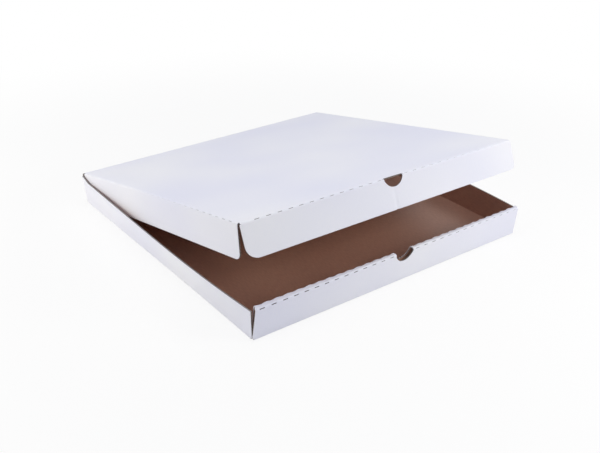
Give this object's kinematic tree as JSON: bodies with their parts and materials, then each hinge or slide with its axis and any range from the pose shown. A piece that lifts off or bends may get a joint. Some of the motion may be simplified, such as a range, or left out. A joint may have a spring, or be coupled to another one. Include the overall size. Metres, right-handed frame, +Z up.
{
  "type": "pizza box",
  "caption": "Shallow square take-away box folded from white-faced corrugated board: tray with a rolled front wall and a hinged tuck-in lid, rounded thumb notches.",
  "frame": {"origin": "middle of the tray's underside, on the surface that the box stands on", "axes": "+X across the front to the right, +Y from the rolled front wall to the hinge wall, +Z up"},
  "size_m": [0.353, 0.358, 0.1084],
  "materials": {
    "white_board": "matte white liner outside, brown kraft liner inside"
  },
  "bodies": {
    "tray": {"tray": "white_board"},
    "lid": {"lid": "white_board"}
  },
  "joints": [
    {"name": "lid_hinge", "type": "hinge", "parent": "tray", "child": "lid", "pos_m": [0, 0.17825, 0.04], "axis": [-1, 0, 0], "range_deg": [-11.4, 168.6]}
  ]
}
